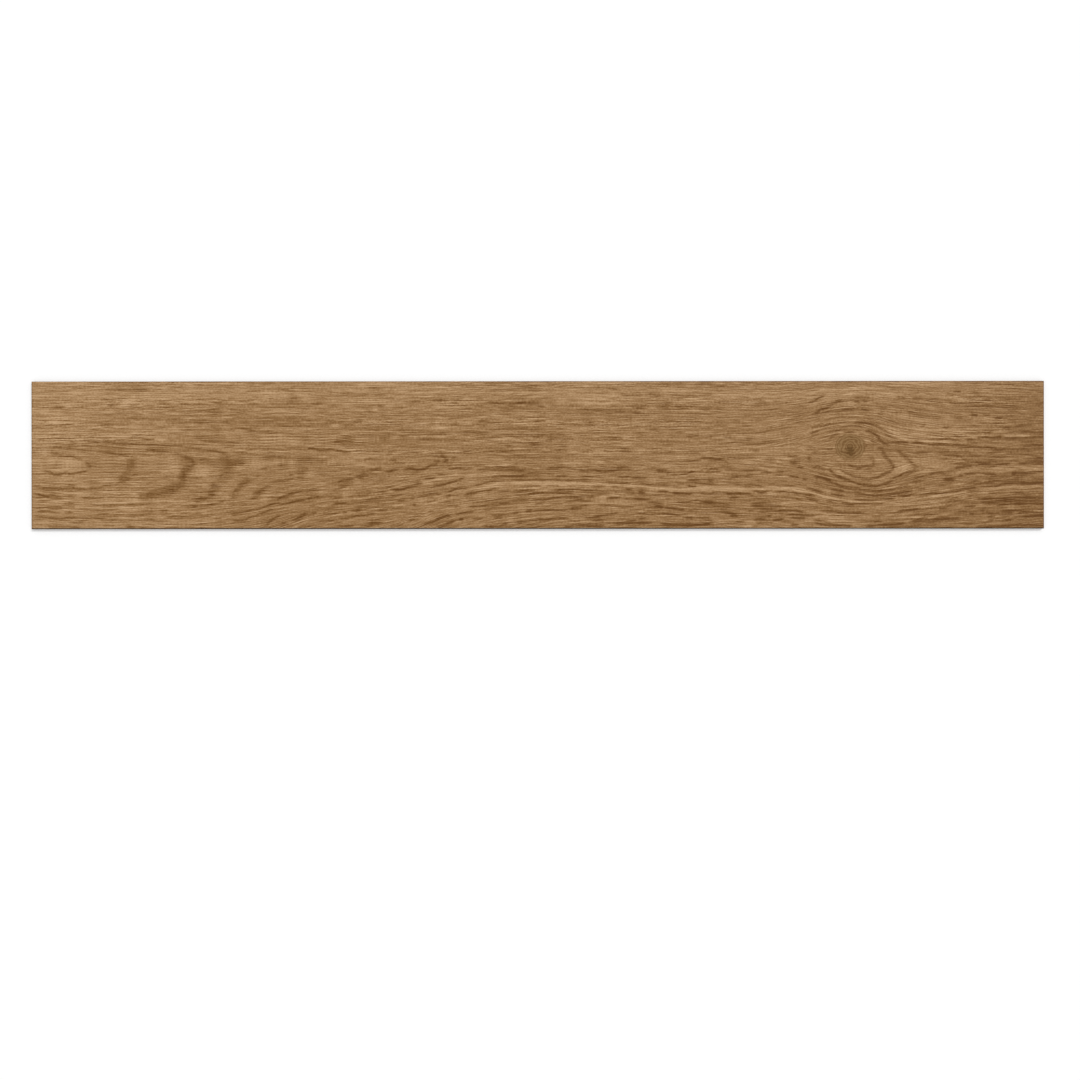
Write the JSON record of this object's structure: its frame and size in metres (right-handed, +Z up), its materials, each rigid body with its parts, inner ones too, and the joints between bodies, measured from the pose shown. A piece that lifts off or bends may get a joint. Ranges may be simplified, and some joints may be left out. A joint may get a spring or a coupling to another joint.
{
  "type": "vinyl floor plank",
  "caption": "Flat square-cut vinyl floor plank with a printed and embossed oak-grain wear face and a fine bevel round all sides.",
  "frame": {"origin": "middle of the back face, where the plank rests on the subfloor", "axes": "+X along the length and the grain, +Y across the width, +Z up out of the wear face"},
  "size_m": [1.2192, 0.1778, 0.005],
  "materials": {
    "oak_print_vinyl": "matte"
  },
  "bodies": {
    "root": {"floor_plank": "oak_print_vinyl"}
  },
  "joints": []
}
